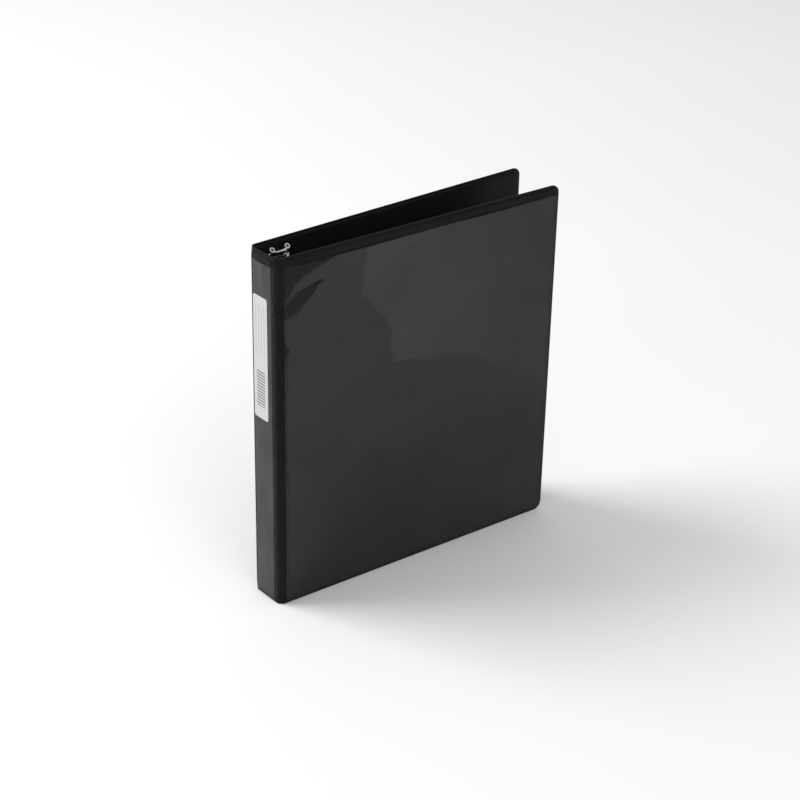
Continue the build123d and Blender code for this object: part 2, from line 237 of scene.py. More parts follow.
# %% Shared effects
def grain_group():
    """Pebbled leather grain: small rounded cells, with a broader unevenness under them."""
    inputs = {"Cells per metre": 1400.0, "Unevenness": 0.35}
    group, start, end = new_group("pebble grain", inputs, ["Height"])
    place = group.nodes.new("ShaderNodeTexCoord")
    cells = group.nodes.new("ShaderNodeTexVoronoi")
    cells.feature = "SMOOTH_F1"
    group.links.new(place.outputs["Object"], cells.inputs["Vector"])
    group.links.new(start.outputs["Cells per metre"], cells.inputs["Scale"])
    broad = group.nodes.new("ShaderNodeTexNoise")
    broad.inputs["Scale"].default_value = 90
    group.links.new(place.outputs["Object"], broad.inputs["Vector"])
    uneven = math_node(group, "MULTIPLY", broad.outputs["Fac"], start.outputs["Unevenness"])
    pebbles = math_node(group, "SUBTRACT", uneven, cells.outputs["Distance"])
    group.links.new(pebbles, end.inputs["Height"])
    return group


def smudge_group():
    """Faint cloudy marks from handling, from 0 where clean to 1 where smudged."""
    group, start, end = new_group("smudges", {"Marks per metre": 30.0, "Strength": 1.0}, ["Mask"])
    place = group.nodes.new("ShaderNodeTexCoord")
    cloud = group.nodes.new("ShaderNodeTexNoise")
    cloud.inputs["Detail"].default_value = 6
    cloud.inputs["Distortion"].default_value = 0.6
    group.links.new(place.outputs["Object"], cloud.inputs["Vector"])
    group.links.new(start.outputs["Marks per metre"], cloud.inputs["Scale"])
    marks = share_of_way(group, cloud.outputs["Fac"], 0.45, 0.7)
    group.links.new(math_node(group, "MULTIPLY", marks, start.outputs["Strength"]), end.inputs["Mask"])
    return group


GRAIN = grain_group()
SMUDGES = smudge_group()
print("node groups:", [g.name for g in bpy.data.node_groups])

# %% [markdown]
# ## What the finishes have in common
# Every finish starts from a Principled shader. Most of its values wander between two limits, and a
# noise or a group gives the share between them. These helpers say that in one line each, so a finish
# below reads as what it is made of.


# %% Helpers for finishes
def finish(name):
    """A new material, with its node tree and its Principled shader."""
    material = bpy.data.materials.new(name)
    material.use_nodes = True
    tree = material.node_tree
    return material, tree, tree.nodes["Principled BSDF"]


def place_group(tree, group, values):
    """A node group placed in a material, with its own values."""
    node = tree.nodes.new("ShaderNodeGroup")
    node.node_tree = group
    for label, value in values.items():
        node.inputs[label].default_value = value
    return node.outputs[0]


def smudges(tree, marks_per_metre):
    """The smudge mask at a size of mark."""
    return place_group(tree, SMUDGES, {"Marks per metre": marks_per_metre, "Strength": 1.0})


def noise_share(tree, scale, detail=4.0, stretch=(1, 1, 1), distortion=0.0):
    """Noise on the piece's own place, as a share."""
    place = tree.nodes.new("ShaderNodeTexCoord")
    mapping = tree.nodes.new("ShaderNodeMapping")
    mapping.inputs["Scale"].default_value = stretch
    texture = tree.nodes.new("ShaderNodeTexNoise")
    texture.inputs["Scale"].default_value = scale
    texture.inputs["Detail"].default_value = detail
    texture.inputs["Distortion"].default_value = distortion
    tree.links.new(place.outputs["Object"], mapping.inputs["Vector"])
    tree.links.new(mapping.outputs["Vector"], texture.inputs["Vector"])
    return texture.outputs["Fac"]


def between(tree, share, low, high):
    """A number from low to high, by a share that is a socket."""
    return math_node(tree, "ADD", math_node(tree, "MULTIPLY", share, high - low), low)


def colour(tree, shader, share, dark, light):
    """Gives a shader a colour between two, by a share that is a socket."""
    mix = tree.nodes.new("ShaderNodeMix")
    mix.data_type = "RGBA"
    mix.inputs["A"].default_value = (*dark, 1)
    mix.inputs["B"].default_value = (*light, 1)
    tree.links.new(share, mix.inputs["Factor"])
    tree.links.new(mix.outputs["Result"], shader.inputs["Base Color"])


def roughness(tree, shader, share, low, high):
    """Gives a shader a roughness between two, by a share that is a socket."""
    tree.links.new(between(tree, share, low, high), shader.inputs["Roughness"])


def relief(tree, shader, height_socket, strength, distance):
    """Gives a shader the relief of a height."""
    bump = tree.nodes.new("ShaderNodeBump")
    bump.inputs["Strength"].default_value = strength
    bump.inputs["Distance"].default_value = distance
    tree.links.new(height_socket, bump.inputs["Height"])
    tree.links.new(bump.outputs["Normal"], shader.inputs["Normal"])


print("helpers for finishes are ready")

# %% [markdown]
# **Vinyl.** The case is black PVC with a fine embossed grain. It is satin, not glossy, and it is a
# little duller where it has been handled. The pockets inside are a flatter, slightly darker vinyl, so
# one function makes both, from two colours, two limits of roughness, a grain and a gloss.


# %% Vinyl
GRAIN_CELLS = 1900  # per metre
GRAIN_UNEVENNESS = 0.4
GRAIN_STRENGTH = 0.3


def vinyl_finish(name, colours, rough_limits, grain_depth, gloss):
    """Black PVC: an embossed grain, and a colour and roughness that smudges change."""
    material, tree, shader = finish(name)
    marks = smudges(tree, marks_per_metre=22)
    colour(tree, shader, marks, *colours)
    roughness(tree, shader, marks, *rough_limits)
    grain = place_group(tree, GRAIN, {"Cells per metre": GRAIN_CELLS, "Unevenness": GRAIN_UNEVENNESS})
    relief(tree, shader, grain, GRAIN_STRENGTH, grain_depth)
    shader.inputs["Specular IOR Level"].default_value = gloss
    return material


VINYL = vinyl_finish(
    "black vinyl",
    colours=((0.0075, 0.0075, 0.0079), (0.0105, 0.0105, 0.011)),
    rough_limits=(0.30, 0.40),
    grain_depth=0.02 * MM,
    gloss=0.07,
)
LINER = vinyl_finish(
    "black lining vinyl",
    colours=((0.0062, 0.0062, 0.0064), (0.0085, 0.0085, 0.009)),
    rough_limits=(0.42, 0.55),
    grain_depth=0.04 * MM,
    gloss=0.14,
)
print("vinyl finishes:", VINYL.name, "and", LINER.name)

# %% [markdown]
# **Clear film.** The outside pockets are thin, glossy, clear film. Glass would be the obvious shader,
# but light that passes through many thin layers is slow and noisy, so alpha lets the vinyl show
# through instead. Film shines twice where air has got under it, because it mirrors light at both of
# its faces, and hardly at all where it clings or is fused in a weld. So each sheet's mesh carries
# attributes: how far a point is inside a lifted or a clinging patch, how much air is under it, and
# whether it is fused. The finish turns them into alpha, with noise that frays the patches' edges.

# %% Clear film
FILM_ALPHA = 0.55
LIFTED_ALPHA = 0.85
HAZE_ALPHA = 0.12  # how far haze takes the alpha up and down
CLINGING_SHARE = 0.22  # of the alpha that is left where the film clings
FUSED_SHARE = 0.3  # and where it is fused in a weld
FILM_IOR = 1.49


def stored_value(tree, name):
    """A mesh attribute's value."""
    stored = tree.nodes.new("ShaderNodeAttribute")
    stored.attribute_name = name
    return stored.outputs["Fac"]


def patch_share(tree, name, fray, depth, softness):
    """A share from 0 to 1 across the frayed edge of a patch that a mesh attribute describes."""
    frayed = math_node(tree, "MULTIPLY", math_node(tree, "SUBTRACT", fray, 0.5), depth)
    edge = math_node(tree, "ADD", stored_value(tree, name), frayed)
    return share_of_way(tree, edge, -softness, softness, "SMOOTHSTEP")


def film_alpha(tree, haze):
    """The alpha of the film, from its haze, its patches and its welds."""
    fray = noise_share(tree, scale=70, detail=6)
    lifted_patch = patch_share(tree, "lifted", fray, depth=0.8, softness=0.06)
    lifted = math_node(tree, "MULTIPLY", lifted_patch, stored_value(tree, "air"))
    clinging = patch_share(tree, "clinging", fray, depth=0.25, softness=0.035)
    clear = between(tree, lifted, FILM_ALPHA, LIFTED_ALPHA)
    hazy = between(tree, haze, -HAZE_ALPHA, HAZE_ALPHA)
    left_by_clinging = between(tree, clinging, 1.0, CLINGING_SHARE)
    left_by_welds = between(tree, stored_value(tree, "fused"), 1.0, FUSED_SHARE)
    kept = math_node(tree, "MULTIPLY", left_by_clinging, left_by_welds)
    return math_node(tree, "MULTIPLY", math_node(tree, "ADD", clear, hazy), kept)


def film_finish():
    """Clear film, with faint rubbing marks in its gloss and a slow waviness."""
    material, tree, shader = finish("clear film")
    haze = noise_share(tree, scale=16, detail=3, distortion=1.2)
    colour(tree, shader, haze, (0.012, 0.012, 0.013), (0.024, 0.024, 0.025))
    roughness(tree, shader, smudges(tree, marks_per_metre=14), 0.12, 0.2)
    tree.links.new(film_alpha(tree, haze), shader.inputs["Alpha"])
    waviness = noise_share(tree, scale=22, detail=2, stretch=(1, 1, 0.4))
    relief(tree, shader, waviness, strength=0.1, distance=0.6 * MM)
    shader.inputs["IOR"].default_value = FILM_IOR
    return material


FILM = film_finish()
print("film finish:", FILM.name)

# %% [markdown]
# **Metal, board and floor.** The housing, rings and levers are steel with bright nickel plate: a
# metallic shader with a low roughness that wanders a little. The plates underneath and the small
# parts are duller. Plating shows faint streaks along the way the steel was drawn, so the noise is
# stretched up the mechanism. The board is grey chipboard, flecked with fibres.


# %% Metal, board and floor finishes
def metal_finish(name, dark, light, rough_limits, streak):
    """Plated steel: fine streaks along the mechanism, and smudges in its shine."""
    material, tree, shader = finish(name)
    streaks = noise_share(tree, scale=700, detail=3, stretch=(1, 1, streak))
    colour(tree, shader, streaks, dark, light)
    roughness(tree, shader, smudges(tree, marks_per_metre=120), *rough_limits)
    relief(tree, shader, streaks, strength=0.15, distance=0.02 * MM)
    shader.inputs["Metallic"].default_value = 1
    return material


def board_finish():
    """Grey chipboard with lighter and darker fibres."""
    material, tree, shader = finish("chipboard")
    fibres = noise_share(tree, scale=900, detail=5, stretch=(1, 1, 0.3))
    colour(tree, shader, fibres, (0.16, 0.145, 0.12), (0.36, 0.33, 0.29))
    relief(tree, shader, fibres, strength=0.4, distance=0.06 * MM)
    shader.inputs["Roughness"].default_value = 0.92
    return material


def floor_finish():
    """A plain pale studio floor, very slightly uneven in tone."""
    material, tree, shader = finish("studio floor")
    unevenness = noise_share(tree, scale=2, detail=2)
    colour(tree, shader, unevenness, (0.86, 0.86, 0.86), (0.9, 0.9, 0.9))
    shader.inputs["Roughness"].default_value = 0.95
    return material


LONG_STREAKS = 0.05  # the noise's scale up a piece, as a share of that across it; 1 gives even specks
NICKEL = metal_finish("bright nickel", (0.60, 0.60, 0.58), (0.78, 0.78, 0.76), (0.12, 0.24), LONG_STREAKS)
SPRING_STEEL = metal_finish(
    "plated spring steel", (0.42, 0.42, 0.42), (0.58, 0.58, 0.57), (0.28, 0.42), LONG_STREAKS
)
ZINC = metal_finish("zinc plate", (0.48, 0.48, 0.46), (0.62, 0.62, 0.59), (0.3, 0.45), 1.0)
BOARD = board_finish()
floor.data.materials.append(floor_finish())
print("hard finishes:", [m.name for m in (NICKEL, SPRING_STEEL, ZINC, BOARD)])

# %% [markdown]
# **The sticker.** It is coated white paper, with generic ruled lines to write on in its upper half and
# plain even bars below them. Print could be an image, but stripes are simpler: a coordinate times a
# count, of which only the fraction is kept, repeats from 0 to 1, and a threshold cuts it into lines.

# %% Sticker finish
PAPER = (0.58, 0.58, 0.575)
INK = (0.05, 0.05, 0.055)
RULED_INK = 0.45  # how dark each print is, as a share of full ink
BAR_INK = 0.85


def within(tree, value, start, end):
    """1 where a value lies between start and end, and 0 elsewhere."""
    above = math_node(tree, "GREATER_THAN", value, start)
    below = math_node(tree, "LESS_THAN", value, end)
    return math_node(tree, "MULTIPLY", above, below)


def stripes(tree, value, count, share):
    """1 on each of a count of stripes, which fill a share of their spacing."""
    turns = math_node(tree, "FRACT", math_node(tree, "MULTIPLY", value, count))
    return math_node(tree, "LESS_THAN", turns, share)


def printed(tree, lines, window_across, window_up):
    """Lines kept to a window of the sticker."""
    return math_node(tree, "MULTIPLY", math_node(tree, "MULTIPLY", lines, window_up), window_across)


def sticker_finish(low, high):
    """Coated white paper between two corners, ruled above and barred below."""
    material, tree, shader = finish("sticker")
    place = tree.nodes.new("ShaderNodeTexCoord")
    mapping = tree.nodes.new("ShaderNodeMapping")
    size = high - low
    mapping.inputs["Location"].default_value = (0, -low.y / size.y, -low.z / size.z)
    mapping.inputs["Scale"].default_value = (1, 1 / size.y, 1 / size.z)
    tree.links.new(place.outputs["Object"], mapping.inputs["Vector"])
    parts = tree.nodes.new("ShaderNodeSeparateXYZ")
    tree.links.new(mapping.outputs["Vector"], parts.inputs["Vector"])
    across = parts.outputs["Y"]
    up = parts.outputs["Z"]
    ruled_lines = stripes(tree, across, count=5, share=0.14)
    ruled = printed(tree, ruled_lines, within(tree, across, 0.15, 0.9), within(tree, up, 0.52, 0.93))
    bar_lines = stripes(tree, up, count=42, share=0.45)
    bars = printed(tree, bar_lines, within(tree, across, 0.2, 0.8), within(tree, up, 0.10, 0.40))
    ruled_ink = math_node(tree, "MULTIPLY", ruled, RULED_INK)
    bar_ink = math_node(tree, "MULTIPLY", bars, BAR_INK)
    colour(tree, shader, math_node(tree, "MAXIMUM", ruled_ink, bar_ink), PAPER, INK)
    roughness(tree, shader, noise_share(tree, scale=300, detail=3), 0.34, 0.46)
    return material


STICKER = sticker_finish(*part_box("spine_label"))
print("sticker finish:", STICKER.name)

# %% [markdown]
# ## The hard pieces from the frame
# The metal parts and the boards are exact in CAD, so they are shown as they are, and each takes the
# finish of its slot. Pressed steel never has a perfectly sharp edge, and a sharp edge catches no
# light, so a Bevel modifier rounds the plated pieces by a hair. A CAD mesh is loose triangles, so a
# Weld modifier joins their corners first.

# %% Finishes on CAD nodes
SLOT_FINISH = {
    "vinyl": VINYL,
    "chipboard": BOARD,
    "clear_film": FILM,
    "pocket_vinyl": LINER,
    "label_paper": STICKER,
    "nickel": NICKEL,
    "plate_steel": SPRING_STEEL,
    "zinc_steel": ZINC,
}
ROUNDED_SLOTS = ("nickel", "plate_steel")
EDGE_ROUNDING = 0.12 * MM
MERGE_DISTANCE = 0.002 * MM
SHARP_ANGLE = math.radians(35)
for part in frame["record"]["subparts"]:
    node = frame["nodes"][part["node"]]
    node.data.materials.clear()
    node.data.materials.append(SLOT_FINISH[part["material_slot"]])
    if part["material_slot"] in ROUNDED_SLOTS:
        weld = node.modifiers.new("merged corners", "WELD")
        weld.merge_threshold = MERGE_DISTANCE
        rounding = node.modifiers.new("rounded edges", "BEVEL")
        rounding.width = EDGE_ROUNDING
        rounding.segments = 2
        rounding.limit_method = "ANGLE"
        rounding.angle_limit = SHARP_ANGLE
print("CAD nodes with a finish:", len(frame["nodes"]))

# %% [markdown]
# ## From a bmesh to a piece
# Every soft piece below is drawn in a bmesh and then made an object. The object stays at the origin
# and its mesh is put in place, so a finish that reads the place of a point never slides. One helper
# does that. Another chooses which edges look sharp, and a third picks out what an extrusion has made.


# %% Helpers that finish a mesh
def as_piece(bm, name, material, matrix=None):
    """Puts a bmesh in the frame, points its faces outwards and makes it an object at the origin."""
    if matrix is not None:
        bmesh.ops.transform(bm, matrix=matrix, verts=bm.verts)
    bmesh.ops.recalc_face_normals(bm, faces=bm.faces)
    mesh = bpy.data.meshes.new(name)
    bm.to_mesh(mesh)
    bm.free()
    mesh.materials.append(material)
    made = bpy.data.objects.new(name, mesh)
    bpy.context.scene.collection.objects.link(made)
    return made


def smooth_by_angle(bm, degrees):
    """Shades smooth, with sharp edges where faces meet at more than an angle."""
    for face in bm.faces:
        face.smooth = True
    for edge in bm.edges:
        if len(edge.link_faces) == 2:
            edge.smooth = edge.calc_face_angle(0) < math.radians(degrees)


def new_verts(operation):
    """The vertices that an extrusion has made."""
    return [v for v in operation["geom"] if isinstance(v, bmesh.types.BMVert)]


print("helpers for meshes are ready")

# %% [markdown]
# ## The vinyl skins
# A panel's skin is two vinyl sheets with a board between them, fused along a narrow weld round the
# edge. In section it is a thin rim that swells up to the board's full thickness. It starts as a
# flat face of the rim's outline, whose corners are rounded with a vertex bevel. That face is extruded
# to the rim's thickness, and both sides are then inset again and again, each step a little in and a
# little out, which is how the section is drawn: first the bead that the welding tool squeezes up, then
# the slope beside the board.

# %% Skins
CORNER = 7 * MM
CORNER_SEGMENTS = 10
RIM_HALF = 0.4 * MM
# Each step of the section, in millimetres: how far in, and how far out of the panel's middle.
BEAD = [(0.15, 0.14), (0.2, 0.1), (0.3, 0.0), (0.2, -0.1), (0.15, -0.14)]
SLOPE = [(0.4, 0.05), (0.4, 0.25), (0.4, 0.34), (0.4, 0.28), (0.5, 0.13), (0.6, 0.05)]
SECTION = BEAD + SLOPE
SKIN_SHARP_DEGREES = 38


def add_outline(bm, start, end, rounded):
    """A flat face from start to end and up the panel, with its far corners rounded if asked."""
    corners = [(start, 0), (end, 0), (end, height), (start, height)]
    verts = [bm.verts.new((x, y, 0)) for x, y in corners]
    bm.faces.new(verts)
    if rounded:
        bmesh.ops.bevel(
            bm,
            geom=verts[1:3],
            offset=CORNER,
            segments=CORNER_SEGMENTS,
            profile=0.5,
            affect="VERTICES",
            material=-1,
        )


def skin(panel, start, end, rounded):
    """The closed vinyl skin of a panel, which stands for its two CAD sheets."""
    bm = bmesh.new()
    add_outline(bm, start, end, rounded)
    bmesh.ops.translate(bm, verts=bm.verts, vec=(0, 0, -panel_thickness / 2 - RIM_HALF))
    extruded = bmesh.ops.extrude_face_region(bm, geom=bm.faces[:])
    bmesh.ops.translate(bm, verts=new_verts(extruded), vec=(0, 0, 2 * RIM_HALF))
    bmesh.ops.recalc_face_normals(bm, faces=bm.faces)
    for side in (1, -1):
        face = next(f for f in bm.faces if f.normal.z * side > 0.9)
        for inward, outward in SECTION:
            bmesh.ops.inset_region(
                bm, faces=[face], thickness=inward * MM, depth=outward * MM, use_even_offset=True
            )
    smooth_by_angle(bm, SKIN_SHARP_DEGREES)
    made = as_piece(bm, f"{panel}_skin", VINYL, PANELS[panel])
    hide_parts(f"{panel}_outer_vinyl", f"{panel}_inner_vinyl")
    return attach(made, BODY[panel])


skin("front", cover_start, cover_end, rounded=True)
skin("back", cover_start, cover_end, rounded=True)
skin("spine", -spine_half, spine_half, rounded=False)

# %% [markdown]
# ## The strips that bend
# Between two boards the vinyl is only the two fused sheets, and that strip is the hinge. It starts as
# one edge of its section, which is spun a quarter turn round the inside of the corner and then drawn
# up to the binder's height. The rows are crowded towards the top and bottom, where the strip is
# pinched in, so that an open binder doesn't show a flared tube there.

# %% Bending strips
STRIP_STEPS = 14
STRIP_ROWS = 31
STRIP_END = 6 * MM  # over this length at each end the bend is pinched in
STRIP_PINCH = 0.8 * MM
STRIP_SHARP_DEGREES = 40
QUARTER_TURN = math.pi / 2


def smooth_step(value):
    """0 below 0, 1 above 1, and a soft slope between."""
    t = min(max(value, 0.0), 1.0)
    return t * t * (3 - 2 * t)


def pinch_ends(bm, centre):
    """Crowds a strip's rows towards its ends, and pulls its bend in there."""
    for v in bm.verts:
        row = round(v.co.z / height * (STRIP_ROWS + 1))
        v.co.z = height * (1 - math.cos(math.pi * row / (STRIP_ROWS + 1))) / 2
        arm = Vector((v.co.x - centre.x, v.co.y - centre.y, 0))
        around = abs(2 * arm.x * arm.y) / arm.length_squared
        end_share = smooth_step(1 - min(v.co.z, height - v.co.z) / STRIP_END)
        v.co -= arm.normalized() * STRIP_PINCH * around * end_share


def bending_strip(side, fold, sign, open_angle):
    """The vinyl between the spine and a cover, which lies on the side of sign."""
    corner_out = Vector((spine_box[0].x, fold.y + sign * fold_depth, 0))
    centre = corner_out + Vector((1, -sign, 0)) * (fold_depth + cover_start)
    reach = fold_depth + cover_start - (panel_thickness / 2 - RIM_HALF)
    bm = bmesh.new()
    inner = bm.verts.new(centre + Vector((-reach + 2 * RIM_HALF, 0, 0)))
    outer = bm.verts.new(centre + Vector((-reach, 0, 0)))
    edge = bm.edges.new((inner, outer))
    bmesh.ops.spin(
        bm,
        geom=[edge],
        cent=centre,
        axis=UP,
        angle=-sign * (QUARTER_TURN + open_angle),
        steps=STRIP_STEPS,
        use_duplicate=False,
    )
    drawn = bmesh.ops.extrude_face_region(bm, geom=bm.faces[:])
    bmesh.ops.translate(bm, verts=new_verts(drawn), vec=(0, 0, height))
    long_edges = [e for e in bm.edges if abs(e.verts[0].co.z - e.verts[1].co.z) > height / 2]
    bmesh.ops.subdivide_edges(bm, edges=long_edges, cuts=STRIP_ROWS, use_grid_fill=True)
    pinch_ends(bm, centre)
    bmesh.ops.recalc_face_normals(bm, faces=bm.faces)
    smooth_by_angle(bm, STRIP_SHARP_DEGREES)
    made = as_piece(bm, f"{side}_bending_strip", VINYL)
    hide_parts(f"{side}_vinyl_hinge")
    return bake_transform(made)


bending_strip("front", front_fold, -1, math.acos(front_along.x))
bending_strip("back", back_fold, 1, 0)

# %% [markdown]
# ## Welded sheets
# The clear pockets outside and the black pockets inside are the same kind of thing: a sheet that is
# welded down along three edges and open along the top. Near a weld it lies on the panel, with a shallow
# groove that the welding tool leaves; further in it floats clear, in long soft waves. A cloth
# simulation could find such waves, but they are only a millimetre or two high, and a formula keeps them
# off the panel for certain. The sheet starts as a grid, whose lines are crowded towards the edges,
# where the shape changes fastest. Each point is then lifted by how far it is from the nearest weld.

# %% Heights on a panel
WELD_GROOVE = 0.7 * MM  # from the edge of a sheet to the middle of its weld


def panel_drop(distance):
    """How far the skin's face is below the panel's flat, at a distance in from its edge."""
    travelled = 0.0
    dropped = panel_thickness / 2 - RIM_HALF
    for inward, outward in SECTION:
        step = inward * MM
        if distance <= travelled + step:
            return dropped - outward * MM * (distance - travelled) / step
        travelled += step
        dropped -= outward * MM
    return 0.0


def bell(distance, width):
    """1 at no distance, falling off smoothly on both sides over a width."""
    return math.exp(-((distance / width) ** 2))


def points_on_panel(node, panel):
    """The points of a CAD node in a panel's own coordinates."""
    inverse = PANELS[panel].inverted()
    return [inverse @ v.co for v in frame["nodes"][node].data.vertices]


def corners_on_panel(node, panel):
    """The lowest and the highest corner of a CAD node in a panel's own coordinates."""
    points = points_on_panel(node, panel)
    return [Vector([pick(p[axis] for p in points) for axis in range(3)]) for pick in (min, max)]


def soft_waves(x, y, wave, seed):
    """Slow noise in two sizes, a broad one stretched up the panel and a finer, weaker one."""
    broad = noise.noise(Vector((x / wave, y / (1.7 * wave), seed)))
    return broad + 0.45 * noise.noise(Vector((2.6 * x / wave, 1.9 * y / wave, seed + 4.6)))


print(f"at its edge a skin lies {panel_drop(0) / MM:.2f} mm below the flat of its panel")

# %% [markdown]
# **One sheet.** The lower corners of a sheet are round, but a grid has square ones. So a point of the
# grid inside a corner's square is pulled in along its own direction from the corner's centre, which
# turns nested squares into nested arcs and keeps every face four-sided.

# %% A welded sheet
SHEET_LINES = 110


def crowded(value):
    """A place from -1 to 1 as a share from 0 to 1, crowded towards both ends."""
    return (1 + math.sin(value * math.pi / 2)) / 2


def rounded_corner(x, y, low, corner_x, radius):
    """A point of the grid moved into a lower corner's arcs, and its distance from the edge there."""
    arm = Vector((x - corner_x, y - low.y - radius))
    arm *= max(abs(arm.x), abs(arm.y)) / arm.length
    return corner_x + arm.x, low.y + radius + arm.y, radius - arm.length


def welded_sheet(name, panel, low, high, radii, mouth_drop, shape, material, thickness):
    """A grid between two corners in panel coordinates, shaped by shape(x, y, distance from a weld).

    radii are those of the two lower corners, the folded edge's first, and mouth_drop is how much
    lower the open top is at the fore edge.
    """
    fold_x = low.x + radii[0]
    fore_x = high.x - radii[1]
    bm = bmesh.new()
    bmesh.ops.create_grid(bm, x_segments=SHEET_LINES, y_segments=SHEET_LINES, size=1)
    for v in bm.verts:
        across = crowded(v.co.x)
        x = low.x + across * (high.x - low.x)
        y = low.y + crowded(v.co.y) * (high.y - mouth_drop * across - low.y)
        edge = min(x - low.x, high.x - x, y - low.y)
        if x < fold_x and y < low.y + radii[0]:
            x, y, edge = rounded_corner(x, y, low, fold_x, radii[0])
        elif x > fore_x and y < low.y + radii[1]:
            x, y, edge = rounded_corner(x, y, low, fore_x, radii[1])
        v.co = (x, y, shape(x, y, edge))
    for face in bm.faces:
        face.smooth = True
    made = as_piece(bm, name, material, PANELS[panel])
    solid = made.modifiers.new("sheet thickness", "SOLIDIFY")
    solid.thickness = thickness
    solid.offset = 0
    return made


print("a sheet has", SHEET_LINES**2, "faces before its thickness")

# %% [markdown]
# **Patches under the film.** On the front the film has come away from the vinyl over the upper fore
# part, and clings in a few leaf-shaped patches beside the fold. Each patch is an outline with a few
# points, as shares of the cover, and how far inside it a point lies becomes an attribute of the mesh.

# %% Patches under the film
LIFTED = [
    (0.31, 1.10), (0.275, 0.84), (0.36, 0.76), (0.40, 0.62), (0.56, 0.60), (0.67, 0.585), (0.78, 0.51),
    (0.95, 0.44), (1.20, 0.43), (1.20, 1.10),
]
BACK_LIFTED = [
    (-0.2, 0.52), (0.12, 0.47), (0.30, 0.36), (0.52, 0.33), (0.74, 0.22), (0.90, 0.20), (1.2, 0.08),
    (1.2, -0.2), (-0.2, -0.2),
]
ALL_LIFTED = [(-2, -2), (2, -2), (2, 2), (-2, 2)]
TOP_PATCH = [
    (-0.1, 1.1), (-0.1, 0.88), (0.02, 0.885), (0.05, 0.925), (0.10, 0.952), (0.17, 0.968), (0.22, 1.1),
]
LEAF = [
    (0.0, 0.835), (0.012, 0.872), (0.05, 0.9), (0.10, 0.917), (0.15, 0.921), (0.135, 0.905), (0.12, 0.903),
    (0.105, 0.882), (0.085, 0.875), (0.055, 0.845),
]
FOLD_PATCH = [(-0.1, 0.80), (0.0, 0.785), (0.012, 0.765), (0.024, 0.745), (0.012, 0.73), (-0.1, 0.715)]
CLINGING = [TOP_PATCH, LEAF, FOLD_PATCH]
PATCH_SCALE = 20 * MM  # distances are stored as shares of this
AIR_FROM = 110 * MM  # past this the lifted film comes down again towards the fore edge
AIR_LOST = 0.85
SPINE_RIPPLE = 0.55  # how much the air under the spine's film comes and goes
SPINE_RIPPLE_WAVE = 17 * MM
SPINE_RIPPLE_SEED = 5.3
FUSED_LINE = 1.3 * MM  # from the edge of a film to the line where it is fused to the vinyl
FUSED_WIDTH = 0.5 * MM


def inside_outline(point, outline):
    """How far a point is inside an outline, and negative outside it."""
    nearest = math.inf
    crossings = 0
    for a, b in zip(outline, outline[1:] + outline[:1]):
        along = b - a
        share = min(max((point - a).dot(along) / along.length_squared, 0), 1)
        nearest = min(nearest, (a + along * share - point).length)
        if (a.y > point.y) != (b.y > point.y):
            crossings += point.x < a.x + along.x * (point.y - a.y) / along.y
    return nearest if crossings % 2 else -nearest


def on_cover(outline):
    """An outline in shares of a cover, made lengths."""
    return [Vector((cover_start + x * cover_length, y * height)) for x, y in outline]


def store(piece, name, value_at, places):
    """Stores a value for each point of a mesh as an attribute."""
    attribute = piece.data.attributes.new(name, "FLOAT", "POINT")
    for number, place in enumerate(places):
        attribute.data[number].value = value_at(place)


def store_patches(piece, panel, low, high, lifted, clinging):
    """Stores the attributes that the film's finish reads: its welds, its air and its patches."""
    inverse = PANELS[panel].inverted()
    places = [inverse @ v.co for v in piece.data.vertices]

    def fused(place):
        return bell(min(place.x - low.x, high.x - place.x, place.y - low.y) - FUSED_LINE, FUSED_WIDTH)

    def air(place):
        ripple = 0
        if panel == "spine":
            ripple = SPINE_RIPPLE * soft_waves(place.x, place.y, SPINE_RIPPLE_WAVE, SPINE_RIPPLE_SEED)
        return 1 - AIR_LOST * smooth_step((place.x - AIR_FROM) / (cover_end - AIR_FROM)) + ripple

    def depth_in(outlines):
        lengths = [on_cover(outline) for outline in outlines]
        return lambda place: max((inside_outline(place.xy, o) / PATCH_SCALE for o in lengths), default=-1.0)

    store(piece, "fused", fused, places)
    store(piece, "air", air, places)
    store(piece, "lifted", depth_in(lifted), places)
    store(piece, "clinging", depth_in(clinging), places)


print("clinging patches:", len(CLINGING))

# %% [markdown]
# **The outside film.** Three sheets, one to a panel. The mouth gapes a little more than the rest, the
# weld squeezes up a small ridge along a cover's fold, and on the spine the film is held down by the
# sticker, so its waves fade out round it.

# %% Outside film
FILM_THICKNESS = 0.06 * MM
FILM_LIFT = 0.13 * MM  # of the middle of the film over the flat of the panel
FILM_CORNER = 4.4 * MM
FILM_SETTLES = 14 * MM  # from a weld to where the film floats free
FILM_MOUTH = 40 * MM  # below the open top, the length that gapes
FRONT_WAVE = 70 * MM
BACK_WAVE = 85 * MM
SPINE_WAVE = 26 * MM
LABEL_HOLD = 12 * MM  # round the label, the width that it holds down
COVER_FLOAT = 0.9 * MM  # how high the film floats off a panel, before the shares below
SPINE_FLOAT = 0.5 * MM
FLOAT_LEVEL = 0.3  # the share of that height at which the film would float without waves
FLOAT_WAVES = 0.5  # and the share of it that the soft waves are multiplied by
FILM_SEED = 3.1
GROOVE_DEPTH = 0.07 * MM
GROOVE_WIDTH = 0.35 * MM
BEAD_HEIGHT = 0.10 * MM
BEAD_WIDTH = 0.5 * MM
BEAD_PLACE = 2.6 * WELD_GROOVE
FOLD_RIDGE = 0.35 * MM  # of film squeezed up beside the weld along a cover's fold, and as wide
FOLD_RIDGE_PLACE = 0.6 * MM  # in from the film's edge
label_low, label_high = corners_on_panel("spine_label", "spine")


def held_by_label(x, y):
    """0 on the label, rising to 1 where the film is free of it."""
    beside = max(label_low.y - y, y - label_high.y, label_low.x - x, x - label_high.x)
    return smooth_step(beside / LABEL_HOLD)


